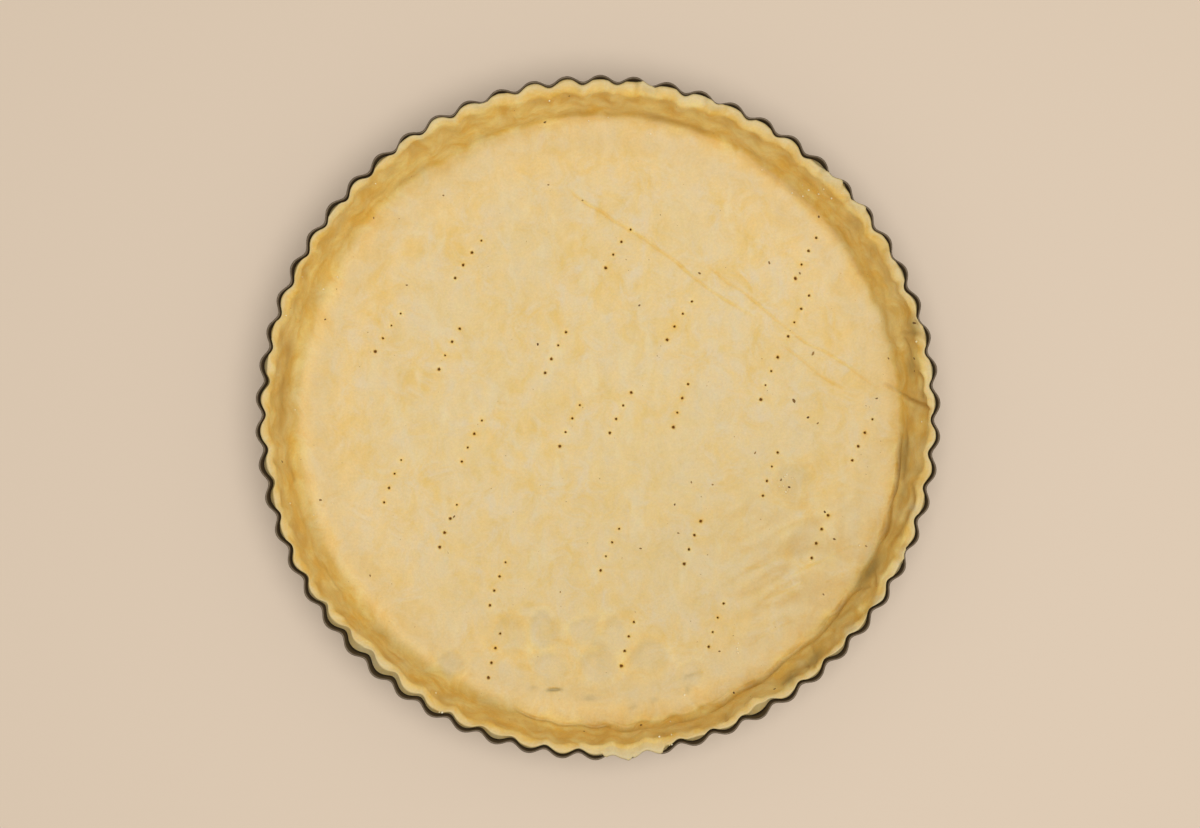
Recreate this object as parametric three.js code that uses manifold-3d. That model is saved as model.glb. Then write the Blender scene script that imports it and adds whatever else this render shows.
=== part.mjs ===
// A raw shortcrust pastry case for a quiche, pressed into its fluted steel tin and pricked with a fork.
// Millimetres, +Z up. The origin is the middle of the tin's underside, where it stands.
import * as THREE from "three";
import { mergeVertices } from "three/addons/utils/BufferGeometryUtils.js";
import Module from "manifold-3d";

// The tin: one sheet of steel with a flat base and a flaring fluted wall.
const TIN_RIM_DIAMETER = 280; // across the crests of the flutes
const TIN_BASE_DIAMETER = 266; // the wall's mean diameter where it leaves the base
const TIN_HEIGHT = 30;
const STEEL = 0.6;
const RIM_EDGE = 0.95; // the rim is left a little thicker than the wall
const BASE_CORNER = 3.4; // the height and width of the corner between base and wall
const FLUTES = 62;
const FLUTE_DEPTH = 2.7; // crest to valley, at the rim
const FOOT_FLUTE_DEPTH = 2.16; // crest to valley, where the wall leaves the base
const FLUTE_BEARING = 2.48; // degrees from +X to the first crest
const FLUTE_ROUNDNESS = 0.09; // how much broader the crests are than the valleys

// The pastry: rolled to one thickness, and pressed up the wall.
const CLEARANCE = 0.3; // between pastry and tin
const FLOOR_THICKNESS = 3.2;
const FLOOR_WAVE = 0.09; // the height of each slow wave that rolling and patting left in the floor
const WALL_THICKNESS = 3.5;
const WALL_LUMPS = 0.45; // how far finger marks push the wall in or out
const FLUTE_PRINT = 0.3; // the share of a flute's depth that shows on the inside
const INSIDE_CORNER = 5; // the height and width of the curve between wall and floor
const CORNER_BRIDGE = 0.8; // how far the dough stands off the tin's base corner

// The trimmed top of the wall, cut off level with the tin's rim.
const CUT_EDGE_WIDTH = 3.1;
const CUT_EDGE_DEPTH = 0.8; // the upright outer face of the cut
const CUT_EDGE_FALL = 0.9; // how far the cut rounds down to the inside
const TRIM_BELOW_RIM = 0.3;
const TRIM_WAVER = 0.35; // how far the cut wanders up and down
const EDGE_SHOULDER = 1; // below the cut, where the dough starts to lean in from the tin

// Where the dough has drawn back from the tin: [bearing in degrees, spread in degrees, distance].
const DRAWN_BACK = [
  [299, 2, 2.7],
  [316, 2.5, 0.8],
  [252, 2.5, 1.5],
  [227, 9, 1.9],
  [190, 5, 1.1],
  [174, 5, 0.9],
  [133, 5, 0.6],
  [51, 5, 0.7],
  [20, 3, 0.6],
];
const LEAST_DRAWN_BACK = 0.1;
const CREST_DRAWN_BACK = 0.5; // the most that a crest of the flutes is left unfilled
const SLUMP = 0.3; // how far the edge sinks for each millimetre that it has drawn back

// Where the trimmed edge lies over the tin's rim: [bearing in degrees, half width in degrees].
const LAPS_OVER = [
  [276.5, 4.6],
  [336, 1.3],
  [126.5, 1.2],
  [110, 1.2],
  [82, 1.5],
  [40, 1.4],
  [28.5, 1.2],
  [16.5, 1.6],
];
const LAP_SHOULDER = 1.1; // degrees on each side in which the edge climbs to the lap
const LAP_HEIGHT = 0.4; // above the rim
const LAP_THICKNESS = 0.8;
const LAP_REACH = 0.5; // past the rim

// The pleats that the wall took as the dough was eased round: [bearing in degrees, spread in degrees, height].
const PLEATS = [
  [347, 1.6, 0.8],
  [339, 2, 1.1],
  [330, 1.8, 0.7],
  [5, 1.8, 0.7],
  [262, 3, 0.8],
];

// The fork: its four tine tips, and where it went in, as [x, y, lean] of each row of four.
const TINE_PITCH = 6.45;
const INNER_TINE_OFFSET = 0.4; // the two middle tips stand off the line of the outer two
const PRICK_RADIUS = 0.6; // at the floor's surface
const PRICK_DEPTH = 2.7;
const FORK_MARKS = [
  [-89, 36, 34],
  [-63, 29, 27],
  [-55, 67, 35],
  [8.5, 71.5, 33],
  [-18, 27.5, 27],
  [34.5, 41, 33],
  [35, 5, 19],
  [9.5, 2, 28],
  [-12, -3.5, 26],
  [-53.5, -10, 26],
  [-87, -27, 22],
  [-63.5, -46, 22],
  [-42.5, -70.5, 20],
  [-44, -101, 15],
  [5, -56, 24],
  [12.5, -96, 16],
  [40, -53, 21],
  [50, -88, 19],
  [88, 67.5, 27],
  [85, 43, 27],
  [72.5, 16.5, 22],
  [73, -24, 19],
  [112, -9.5, 26],
  [94, -50.5, 21],
];

// How finely the surfaces are divided.
const POINTS_PER_FLUTE = 8;
const WALL_POINTS_PER_FLUTE = 4; // inside the case, where the flutes show less
const CORNER_POINTS_PER_FLUTE = 3;
const FLOOR_RINGS = 8;
const FLOOR_SPACING = 7; // between the points of a ring on the floor

const TURN = 2 * Math.PI;
const rimRadius = (TIN_RIM_DIAMETER - FLUTE_DEPTH) / 2;
const baseRadius = TIN_BASE_DIAMETER / 2;
const underside = STEEL + CLEARANCE;
const floorTop = underside + FLOOR_THICKNESS;
const cornerRadius = baseRadius - STEEL - CLEARANCE - WALL_THICKNESS;

const wasm = await Module();
wasm.setup();

const radians = THREE.MathUtils.degToRad;
const blend = THREE.MathUtils.lerp;

// A repeatable draw between 0 and 1 for a whole number.
function chance(n) {
  const spin = Math.sin(n * 127.1 + 11.7) * 43758.5453;
  return spin - Math.floor(spin);
}

// The signed angle in degrees from a bearing to an angle, the short way round.
function turnBetween(angle, bearing) {
  const gap = THREE.MathUtils.radToDeg(angle) - bearing;
  return THREE.MathUtils.euclideanModulo(gap + 180, 360) - 180;
}

// The wave of the flutes: about 1 on a crest and -1 in a valley.
function fluteWave(angle) {
  const phase = FLUTES * (angle - radians(FLUTE_BEARING));
  return Math.cos(phase) - FLUTE_ROUNDNESS * (Math.cos(2 * phase) - 1);
}

// The radius of the tin's outer face at an angle and a height above its base corner.
function tinRadius(angle, z) {
  const up = (z - BASE_CORNER) / (TIN_HEIGHT - BASE_CORNER);
  const depth = blend(FOOT_FLUTE_DEPTH, FLUTE_DEPTH, up);
  return blend(baseRadius, rimRadius, up) + (depth / 2) * fluteWave(angle);
}

// A slow, repeatable unevenness about 1 high, which runs round the case without a seam.
function unevenRound(angle, seed) {
  let height = 0;
  for (const [order, lumps] of [3, 7, 11, 19].entries())
    height += Math.cos(lumps * angle + TURN * chance(seed + order)) / (order + 2);
  return height;
}

// How far the dough's edge stands in from the tin. It fills the valleys better than the crests.
function drawnBack(angle) {
  const flute = Math.round((FLUTES * (angle - radians(FLUTE_BEARING))) / TURN);
  const unfilled = CREST_DRAWN_BACK * chance(THREE.MathUtils.euclideanModulo(flute, FLUTES));
  let distance = LEAST_DRAWN_BACK + unfilled * Math.max(0, fluteWave(angle));
  for (const [bearing, spread, most] of DRAWN_BACK)
    distance += most * Math.exp(-((turnBetween(angle, bearing) / spread) ** 2));
  return distance;
}

function lapsOver(angle, margin = 0) {
  return LAPS_OVER.some(([bearing, half]) => Math.abs(turnBetween(angle, bearing)) < half + margin);
}

// The floor as rolled and patted down: slow waves in all directions, a few tenths of a millimetre high.
function floorHeight(x, y) {
  let height = floorTop;
  for (let wave = 0; wave < 6; wave++) {
    const bearing = TURN * chance(40 + wave);
    const length = blend(32, 75, chance(50 + wave));
    const across = x * Math.cos(bearing) + y * Math.sin(bearing);
    height += FLOOR_WAVE * Math.sin((TURN * across) / length + TURN * chance(60 + wave));
  }
  return height;
}

// A ring of points round the Z axis. place(angle) gives { r, z }.
function ring(count, place) {
  return Array.from({ length: count }, (_, i) => {
    const angle = (TURN * i) / count;
    const { r, z } = place(angle);
    return new THREE.Vector3(r * Math.cos(angle), r * Math.sin(angle), z);
  });
}

// The triangles between two rings, which may have different numbers of points.
function facesBetween(start, count, nextStart, nextCount) {
  const faces = [];
  let i = 0;
  let j = 0;
  while (i < count || j < nextCount) {
    const here = start + (i % count);
    const there = nextStart + (j % nextCount);
    if (i < count && (j === nextCount || (i + 1) / count < (j + 1) / nextCount)) {
      i++;
      faces.push(here, start + (i % count), there);
    } else {
      j++;
      faces.push(here, nextStart + (j % nextCount), there);
    }
  }
  return faces;
}

// A closed solid from rings that run from the middle of the underside, up the outside, over and in.
function turnedSolid(rings, bottomHeight, topHeight) {
  const bottom = new THREE.Vector3(0, 0, bottomHeight);
  const top = new THREE.Vector3(0, 0, topHeight);
  const points = [bottom, ...rings.flat(), top];
  const starts = [1];
  for (const { length } of rings) starts.push(starts.at(-1) + length);
  const faces = [];
  const first = rings[0].length;
  for (let i = 0; i < first; i++) faces.push(0, 1 + ((i + 1) % first), 1 + i);
  for (let k = 1; k < rings.length; k++)
    faces.push(...facesBetween(starts[k - 1], rings[k - 1].length, starts[k], rings[k].length));
  const last = rings.at(-1).length;
  const lastStart = starts[rings.length - 1];
  for (let i = 0; i < last; i++)
    faces.push(lastStart + i, lastStart + ((i + 1) % last), points.length - 1);
  return new THREE.BufferGeometry().setFromPoints(points).setIndex(faces);
}

function asSolid(geometry) {
  const bare = geometry.clone().deleteAttribute("normal").deleteAttribute("uv");
  const merged = mergeVertices(bare, 1e-4);
  const vertProperties = merged.getAttribute("position").array;
  const triVerts = new Uint32Array(merged.index.array);
  return new wasm.Manifold(new wasm.Mesh({ numProp: 3, vertProperties, triVerts }));
}

function asGeometry(solid) {
  const { vertProperties, triVerts } = solid.getMesh();
  return new THREE.BufferGeometry()
    .setAttribute("position", new THREE.BufferAttribute(vertProperties, 3))
    .setIndex(new THREE.BufferAttribute(triVerts, 1));
}

function makeTin() {
  const round = FLUTES * POINTS_PER_FLUTE;
  const flatRadius = baseRadius - BASE_CORNER;
  const wallRing = (height, inset) =>
    ring(round, (angle) => ({ r: tinRadius(angle, height) - inset, z: height }));
  const rings = [
    ring(FLUTES, () => ({ r: flatRadius, z: 0 })),
    wallRing(BASE_CORNER, 0),
    wallRing(TIN_HEIGHT, 0),
    wallRing(TIN_HEIGHT, RIM_EDGE),
    wallRing(BASE_CORNER, STEEL),
    ring(FLUTES, () => ({ r: flatRadius - STEEL / 2, z: STEEL })),
  ];
  return turnedSolid(rings, 0, STEEL);
}

// The cut top of the pastry at an angle: the radii of its foot and its outer edge, and its heights.
function cutEdge(angle) {
  const insideTin = tinRadius(angle, TIN_HEIGHT) - RIM_EDGE - CLEARANCE;
  const waver = TRIM_WAVER * unevenRound(angle, 10);
  const height = TIN_HEIGHT - TRIM_BELOW_RIM + waver - SLUMP * drawnBack(angle);
  const crosses = lapsOver(angle);
  const raised = lapsOver(angle, LAP_SHOULDER);
  const foot = crosses ? insideTin : insideTin - drawnBack(angle);
  return {
    foot,
    outside: crosses ? insideTin + CLEARANCE + RIM_EDGE + LAP_REACH : foot,
    footHeight: raised ? TIN_HEIGHT + LAP_HEIGHT : height - CUT_EDGE_DEPTH,
    top: raised ? TIN_HEIGHT + LAP_HEIGHT + LAP_THICKNESS : height,
  };
}

// How far the wall's pleats stand in towards the middle.
function pleats(angle) {
  let height = 0;
  for (const [bearing, spread, most] of PLEATS)
    height += most * Math.exp(-((turnBetween(angle, bearing) / spread) ** 2));
  return height;
}

// The pastry wall's inner face, from the cut edge down to the corner, at a share of the way down.
function insideWall(angle, down) {
  const edge = cutEdge(angle);
  const hidden = (1 - FLUTE_PRINT * (1 - down)) * (FLUTE_DEPTH / 2) * fluteWave(angle);
  const wallTop = edge.foot - CUT_EDGE_WIDTH - hidden;
  const lumps = WALL_LUMPS * unevenRound(angle, 20 + Math.round(4 * down)) - pleats(angle);
  return {
    r: blend(wallTop, cornerRadius, down) + down * lumps,
    z: blend(Math.min(edge.top, TIN_HEIGHT) - CUT_EDGE_FALL, floorTop + INSIDE_CORNER, down),
  };
}

// A ring on the floor, raised by a share of the inside corner.
function floorRing(radius, lift = 0) {
  const count = 4 * Math.round((TURN * radius) / FLOOR_SPACING / 4);
  return ring(count, (angle) => {
    const x = radius * Math.cos(angle);
    const y = radius * Math.sin(angle);
    return { r: radius, z: floorHeight(x, y) + lift * INSIDE_CORNER };
  });
}

function makePastry() {
  const round = FLUTES * POINTS_PER_FLUTE;
  const wallRound = FLUTES * WALL_POINTS_PER_FLUTE;
  const cornerRound = FLUTES * CORNER_POINTS_PER_FLUTE;
  const wallFoot = BASE_CORNER + CORNER_BRIDGE;
  const flatRadius = cornerRadius - INSIDE_CORNER;
  const rings = [
    ring(FLUTES, () => ({ r: baseRadius - BASE_CORNER - 2 * CORNER_BRIDGE, z: underside })),
    ring(round, (angle) => ({ r: tinRadius(angle, wallFoot) - STEEL - CLEARANCE, z: wallFoot })),
    ring(round, (angle) => {
      const z = cutEdge(angle).footHeight - EDGE_SHOULDER;
      const insideTin = tinRadius(angle, z) - RIM_EDGE - CLEARANCE;
      return { r: Math.min(cutEdge(angle).foot, insideTin), z };
    }),
    ring(round, (angle) => ({ r: cutEdge(angle).foot, z: cutEdge(angle).footHeight })),
    ring(round, (angle) => ({ r: cutEdge(angle).outside, z: cutEdge(angle).top })),
    ring(wallRound, (angle) => insideWall(angle, 0)),
    ring(wallRound, (angle) => insideWall(angle, 0.35)),
    ring(cornerRound, (angle) => insideWall(angle, 0.7)),
    ring(cornerRound, (angle) => insideWall(angle, 1)),
    floorRing(cornerRadius - 0.3 * INSIDE_CORNER, 0.3),
  ];
  for (let k = FLOOR_RINGS; k > 0; k--) rings.push(floorRing((flatRadius * k) / FLOOR_RINGS));
  const shell = asSolid(turnedSolid(rings, underside, floorHeight(0, 0)));
  return asGeometry(shell.subtract(makePricks()));
}

// Every prick of the fork as one solid: a four-sided point for each tine, as wide above the floor as below.
function makePricks() {
  const point = new THREE.ConeGeometry(2 * PRICK_RADIUS, 2 * PRICK_DEPTH, 4);
  point.rotateX(-Math.PI / 2);
  const pricks = FORK_MARKS.flatMap(([x, y, lean]) =>
    [-1.5, -0.5, 0.5, 1.5].map((place) => {
      const along = place * TINE_PITCH;
      const aside = Math.abs(place) < 1 ? INNER_TINE_OFFSET : 0;
      const turn = radians(lean);
      const tipX = x + along * Math.sin(turn) - aside * Math.cos(turn);
      const tipY = y + along * Math.cos(turn) + aside * Math.sin(turn);
      return asSolid(point.clone().translate(tipX, tipY, floorHeight(tipX, tipY)));
    }),
  );
  return wasm.Manifold.union(pricks);
}

function addPiece(group, name, geometry, look) {
  const piece = new THREE.Mesh(geometry, new THREE.MeshStandardMaterial(look));
  piece.name = name;
  group.add(piece);
}

const quiche = new THREE.Group();
addPiece(quiche, "tin", makeTin(), { color: 0x463c34, roughness: 0.45, metalness: 0.6 });
addPiece(quiche, "pastry_case", makePastry(), { color: 0xe4c58a, roughness: 0.6, metalness: 0 });

export default quiche;
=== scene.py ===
import math

import bpy
import numpy as np
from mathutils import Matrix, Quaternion, Vector, kdtree
from mathutils.geometry import delaunay_2d_cdt


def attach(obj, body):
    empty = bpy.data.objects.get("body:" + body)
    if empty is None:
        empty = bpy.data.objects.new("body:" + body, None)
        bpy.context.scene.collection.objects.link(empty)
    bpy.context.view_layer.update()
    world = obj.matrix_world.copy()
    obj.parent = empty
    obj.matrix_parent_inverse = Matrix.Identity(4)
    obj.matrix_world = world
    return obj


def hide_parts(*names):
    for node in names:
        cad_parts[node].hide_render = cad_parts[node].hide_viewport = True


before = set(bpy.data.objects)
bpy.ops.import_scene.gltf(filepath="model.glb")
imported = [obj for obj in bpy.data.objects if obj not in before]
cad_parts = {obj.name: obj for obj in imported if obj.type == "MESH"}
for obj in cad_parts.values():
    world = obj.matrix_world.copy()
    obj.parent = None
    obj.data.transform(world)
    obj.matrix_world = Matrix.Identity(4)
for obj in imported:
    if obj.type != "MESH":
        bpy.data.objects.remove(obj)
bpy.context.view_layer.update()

# The camera
# The case was photographed from straight above, so the walls show only as a narrow band and the
# view is a little off the tin's middle. A normal lens at arm's length gives that band its width.
PHOTO_WIDTH_PX = 1200
PHOTO_MIDDLE_PX = (600, 414)
TIN_MIDDLE_PX = (597.97, 417.54)
MM_PER_PX_AT_RIM = 0.408
LENS_ABOVE_RIM_MM = 684
TIN_HEIGHT_MM = 30
SENSOR_MM = 36

seen_width = PHOTO_WIDTH_PX * MM_PER_PX_AT_RIM
camera_data = bpy.data.cameras.new("camera_above")
camera_data.sensor_width = SENSOR_MM
camera_data.lens = SENSOR_MM * LENS_ABOVE_RIM_MM / seen_width
camera_data.clip_start = 0.01
camera = bpy.data.objects.new("camera_above", camera_data)
camera.location = (
    (PHOTO_MIDDLE_PX[0] - TIN_MIDDLE_PX[0]) * MM_PER_PX_AT_RIM / 1000,
    (TIN_MIDDLE_PX[1] - PHOTO_MIDDLE_PX[1]) * MM_PER_PX_AT_RIM / 1000,
    (TIN_HEIGHT_MM + LENS_ABOVE_RIM_MM) / 1000,
)
bpy.context.scene.collection.objects.link(camera)
bpy.context.scene.camera = camera
bpy.context.scene.view_settings.view_transform = "Standard"

# The fluted tin
# One round of tinplate, drawn and fluted in a press, with a flat base and a plain cut rim. Years in
# the oven have turned it dark brown-black, and handling keeps the very edge of the rim brighter.
RIM_DIAMETER_MM = 280  # across the crests of the flutes
BASE_DIAMETER_MM = 266
STEEL_MM = 0.6
RIM_EDGE_MM = 0.95
BASE_CORNER_MM = 3.4
FLUTES = 62
FLUTE_DEPTH_MM = 2.7
FOOT_FLUTE_DEPTH_MM = 2.16
FLUTE_BEARING_DEG = 2.48
FLUTE_ROUNDNESS = 0.09
POINTS_PER_FLUTE = 16

round_points = FLUTES * POINTS_PER_FLUTE
turn = np.arange(round_points) * 2 * np.pi / round_points
rim_radius = (RIM_DIAMETER_MM - FLUTE_DEPTH_MM) / 2
base_radius = BASE_DIAMETER_MM / 2


def smooth_step(value, low, high):
    share = np.clip((value - low) / (high - low), 0, 1)
    return share * share * (3 - 2 * share)


def flute_wave(angle):
    """About 1 on a crest of the flutes and -1 in a valley, as in the solid."""
    phase = FLUTES * (angle - math.radians(FLUTE_BEARING_DEG))
    return np.cos(phase) - FLUTE_ROUNDNESS * (np.cos(2 * phase) - 1)


def tin_radius(angle, z):
    """The radius of the tin's outer face in mm. The flutes run out in the corner of the base."""
    up = (z - BASE_CORNER_MM) / (TIN_HEIGHT_MM - BASE_CORNER_MM)
    depth = FOOT_FLUTE_DEPTH_MM + (FLUTE_DEPTH_MM - FOOT_FLUTE_DEPTH_MM) * up
    mean = base_radius + (rim_radius - base_radius) * up
    return mean + depth / 2 * flute_wave(angle)


def around(radius, z):
    """A ring of points in mm, from a radius and a height at each angle."""
    flat = np.ones_like(turn)
    return np.stack([radius * np.cos(turn), radius * np.sin(turn), z * flat], 1)


def ring_faces(ring_count, count):
    """Quads between rings of points that follow one another."""
    here = np.arange(count)
    beside = (here + 1) % count
    quads = [np.stack([k * count + here, k * count + beside, (k + 1) * count + beside,
                       (k + 1) * count + here], 1) for k in range(ring_count - 1)]
    return np.concatenate(quads)


def piece_from(name, points_mm, faces, material):
    """A smooth mesh object in metres, in the shared frame."""
    mesh = bpy.data.meshes.new(name)
    mesh.from_pydata((np.asarray(points_mm) / 1000).tolist(), [], [list(f) for f in faces])
    mesh.validate()
    mesh.shade_smooth()
    mesh.materials.append(material)
    piece = bpy.data.objects.new(name, mesh)
    bpy.context.scene.collection.objects.link(piece)
    return piece


def linear(hex_colour):
    """An sRGB hex colour as the linear colour that a shader takes."""
    shares = [int(hex_colour[k:k + 2], 16) / 255 for k in (1, 3, 5)]
    light = [c / 12.92 if c <= 0.04045 else ((c + 0.055) / 1.055) ** 2.4 for c in shares]
    return (*light, 1.0)


def new_material(name):
    """A material with nodes, and the shader that it starts with."""
    material = bpy.data.materials.new(name)
    material.use_nodes = True
    return material, material.node_tree.nodes["Principled BSDF"]


def fill_sockets(owner, node, links=None, values=None):
    """Links some of a node's sockets to other nodes, and sets the values of others."""
    for socket, value in (values or {}).items():
        node.inputs[socket].default_value = value
    for socket, source in (links or {}).items():
        owner.node_tree.links.new(source, node.inputs[socket])


def add_node(material, kind, links=None, values=None, **settings):
    """Adds a node to a material, with its settings, its links and its sockets' values."""
    node = material.node_tree.nodes.new(kind)
    for name, value in settings.items():
        setattr(node, name, value)
    fill_sockets(material, node, links, values)
    return node


# Tinplate is a metal, but its baked-on film of oil scatters light, so it is only half a mirror.
STAIN_MM = 9
SCUFF_MM = 1.3
WORN_FROM_MM = 29.6
tinplate, tinplate_shader = new_material("baked_tinplate")
place = add_node(tinplate, "ShaderNodeTexCoord").outputs["Object"]
stain = add_node(tinplate, "ShaderNodeTexNoise", {"Vector": place},
                 {"Scale": 1000 / STAIN_MM, "Detail": 5.0, "Roughness": 0.6})
scuff = add_node(tinplate, "ShaderNodeTexNoise", {"Vector": place},
                 {"Scale": 1000 / SCUFF_MM, "Detail": 3.0, "Roughness": 0.55})
film = add_node(tinplate, "ShaderNodeMix", {0: stain.outputs["Fac"]},
                {6: linear("#443a2e"), 7: linear("#635442")}, data_type="RGBA")
height = add_node(tinplate, "ShaderNodeSeparateXYZ", {0: place}).outputs["Z"]
worn = add_node(tinplate, "ShaderNodeMapRange", {"Value": height},
                {"From Min": WORN_FROM_MM / 1000, "From Max": TIN_HEIGHT_MM / 1000})
patchy = add_node(tinplate, "ShaderNodeMath", {0: worn.outputs[0], 1: scuff.outputs["Fac"]},
                  operation="MULTIPLY")
finish = add_node(tinplate, "ShaderNodeMix", {0: patchy.outputs[0], 6: film.outputs[2]},
                  {7: linear("#786850")}, data_type="RGBA")
dullness = add_node(tinplate, "ShaderNodeMapRange", {"Value": stain.outputs["Fac"]},
                    {"From Min": 0.3, "From Max": 0.7, "To Min": 0.34, "To Max": 0.56})
pitting = add_node(tinplate, "ShaderNodeBump", {"Height": scuff.outputs["Fac"]},
                   {"Strength": 0.35, "Distance": 0.00006})
fill_sockets(tinplate, tinplate_shader,
             {"Base Color": finish.outputs[2], "Roughness": dullness.outputs[0],
              "Normal": pitting.outputs[0]}, {"Metallic": 0.65})

FLAT_RING_SHARES = (0.25, 0.6, 0.97)  # of the radius of the flat base
CORNER_RINGS = 7
WALL_RINGS = 14
RIM_RINGS = 7
flat_radius = base_radius - BASE_CORNER_MM
corner_bends = np.linspace(0, np.pi / 2, CORNER_RINGS)[:-1]
wall_heights = np.linspace(BASE_CORNER_MM, TIN_HEIGHT_MM - RIM_EDGE_MM / 2, WALL_RINGS)


def corner_ring(flat_edge, wall_foot, flat_z, bend):
    """A ring in the corner of the base, where the flutes begin."""
    rise = 1 - math.cos(bend)
    radius = flat_edge + (wall_foot - flat_edge) * (math.sin(bend) + rise) / 2
    return around(radius, flat_z + (BASE_CORNER_MM - flat_z) * rise)


tin_rings = [around(flat_radius * share, 0) for share in FLAT_RING_SHARES]
for bend in corner_bends:
    tin_rings.append(corner_ring(flat_radius, tin_radius(turn, BASE_CORNER_MM), 0, bend))
for z in wall_heights:
    tin_rings.append(around(tin_radius(turn, z), z))
for bend in np.linspace(0, np.pi, RIM_RINGS + 2)[1:-1]:
    across = RIM_EDGE_MM / 2 * (1 - math.cos(bend))
    z = TIN_HEIGHT_MM - RIM_EDGE_MM / 2 * (1 - math.sin(bend))
    tin_rings.append(around(tin_radius(turn, z) - across, z))
for z in wall_heights[::-1]:
    up = (z - BASE_CORNER_MM) / (TIN_HEIGHT_MM - BASE_CORNER_MM)
    tin_rings.append(around(tin_radius(turn, z) - STEEL_MM - (RIM_EDGE_MM - STEEL_MM) * up, z))
for bend in corner_bends[::-1]:
    tin_rings.append(corner_ring(flat_radius - STEEL_MM / 2,
                                 tin_radius(turn, BASE_CORNER_MM) - STEEL_MM, STEEL_MM, bend))
tin_rings += [around(flat_radius * share, STEEL_MM) for share in FLAT_RING_SHARES[::-1]]
tin_points = np.concatenate(tin_rings)
tin_faces = ring_faces(len(tin_rings), round_points).tolist()
tin_faces.append(list(range(round_points))[::-1])
tin_faces.append(list(range(len(tin_points) - round_points, len(tin_points))))
tin = piece_from("fluted_tin", tin_points, tin_faces, tinplate)
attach(tin, "root")
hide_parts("tin")

# The pastry case
# Shortcrust rolled out about 3 mm thick, laid in the tin and pressed into its flutes with a thumb,
# then trimmed level with the rim by a knife. Its floor is pricked all over with a fork.
GAP_MM = 0.12  # the dough touches the tin; this keeps the two surfaces apart
SOLID_GAP_MM = 0.3
FLOOR_MM = 3.2
WALL_FOOT_MM = 129.3  # the radius where floor and wall would meet if the corner were sharp
EASY_CORNER_MM = 6.4
CRISP_CORNER_MM = 1.7
CUT_EDGE_MM = 2.5
# Where the foot of the wall lies further out or in: bearing and spread in degrees, change in mm.
FOOT_CHANGES = [
    (355, 12, -0.8),
    (20, 14, -2.5),
    (45, 14, -1.5),
    (78, 20, -1.6),
    (115, 17, -2.9),
    (140, 12, -0.5),
    (278, 15, 2.3),
]
# Where the cut edge is wider or narrower: bearing and spread in degrees, change in mm.
CUT_EDGE_CHANGES = [
    (70, 45, 1.5),
    (95, 35, 0.9),
    (135, 24, -0.7),
    (272, 16, 0.2),
    (315, 24, -0.7),
]
CUT_EDGE_FALL_MM = 2.3
CUT_EDGE_DEPTH_MM = 0.8
TRIM_BELOW_RIM_MM = 0.3
TRIM_WAVER_MM = 0.35
FLUTE_PRINT = 0.4
LEAST_DRAWN_BACK_MM = 0.15
CREST_DRAWN_BACK_MM = 1.1
SLUMP = 0.3
# Where the dough has drawn back from the tin: bearing and spread in degrees, distance in mm.
DRAWN_BACK = [
    (226, 26, 1.25),
    (272, 20, 0.45),
    (312, 50, 0.45),
    (90, 50, -0.35),
    (150, 12, 0.4),
    (299, 2, 2.7),
    (316, 2.5, 0.8),
    (252, 2.5, 1.5),
    (227, 9, 1.9),
    (190, 5, 1.1),
    (174, 5, 0.9),
    (133, 5, 0.6),
    (51, 5, 0.7),
    (20, 3, 0.6),
]
# Where the edge lies on the tin's rim: bearing and half width in degrees, share of the way over.
LAPS_OVER = [
    (273.4, 1.8, 1.0),
    (278.4, 2.2, 0.9),
    (336, 0.5, 0.75),
    (126.5, 0.3, 0.6),
    (110, 0.3, 0.6),
    (81.5, 0.6, 0.8),
    (69.3, 0.7, 0.75),
    (45.4, 1.1, 0.85),
    (39.2, 0.8, 0.8),
    (28.5, 0.6, 0.65),
    (16.5, 0.6, 0.65),
]
LAP_SHOULDER_DEG = 1.7
LAP_MM = 0.6
LAP_ABOVE_RIM_MM = 0.12
LAP_REACH_MM = 0.5
RAGGED_MM = 0.45
EDGE_NIBBLED_MM = 0.12
LAP_LUMP_MM = 0.25
CHIPPED_MM = 0.5
# The pleats that the wall took: bearing and spread in degrees, height in mm.
PLEATS = [
    (347, 1.6, 0.8),
    (339, 2, 1.1),
    (330, 1.8, 0.7),
    (5, 1.8, 0.7),
    (262, 3, 0.8),
]

underside = STEEL_MM + SOLID_GAP_MM
floor_top = underside + FLOOR_MM


def room_in_tin(z):
    """The radius that the dough may fill at a height, so that it stays off the steel."""
    return tin_radius(turn, z) - RIM_EDGE_MM - GAP_MM


def chance(n):
    """A repeatable draw between 0 and 1 for a number or an array of them."""
    spin = np.sin(np.asarray(n, float) * 127.1 + 11.7) * 43758.5453
    return spin - np.floor(spin)


def turn_between(angle, bearing):
    return (np.degrees(angle) - bearing + 180) % 360 - 180


def uneven_round(angle, seed):
    """A slow unevenness about 1 high, which runs round the case without a seam."""
    lumps = [3, 7, 11, 19]
    return sum(np.cos(count * angle + 2 * np.pi * chance(seed + order)) / (order + 2)
               for order, count in enumerate(lumps))


def lumpiness(x, y, z, size, seed):
    """Smooth random lumps between -1 and 1, size mm apart."""
    spots = np.stack([x, y, z], -1) / size + 50 + 7.3 * seed
    cell = np.floor(spots)
    share = spots - cell
    share = share * share * (3 - 2 * share)
    total = np.zeros(spots.shape[:-1])
    for corner in range(8):
        step = np.array([corner & 1, corner >> 1 & 1, corner >> 2])
        weight = np.prod(np.where(step == 1, share, 1 - share), -1)
        total += weight * chance((cell + step) @ np.array([1.0, 57.31, 113.7]))
    return total * 2 - 1


def flat_lumps(x, y, size, seed):
    """The same lumps on a surface that lies flat."""
    return lumpiness(x, y, 0 * x, size, seed)


def bell(distance, width):
    return np.exp(-((distance / width) ** 2))


def changes_at(angle, rows):
    """The sum of local changes, from rows of bearing and spread in degrees and height in mm."""
    return sum(most * bell(turn_between(angle, bearing), spread) for bearing, spread, most in rows)


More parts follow.
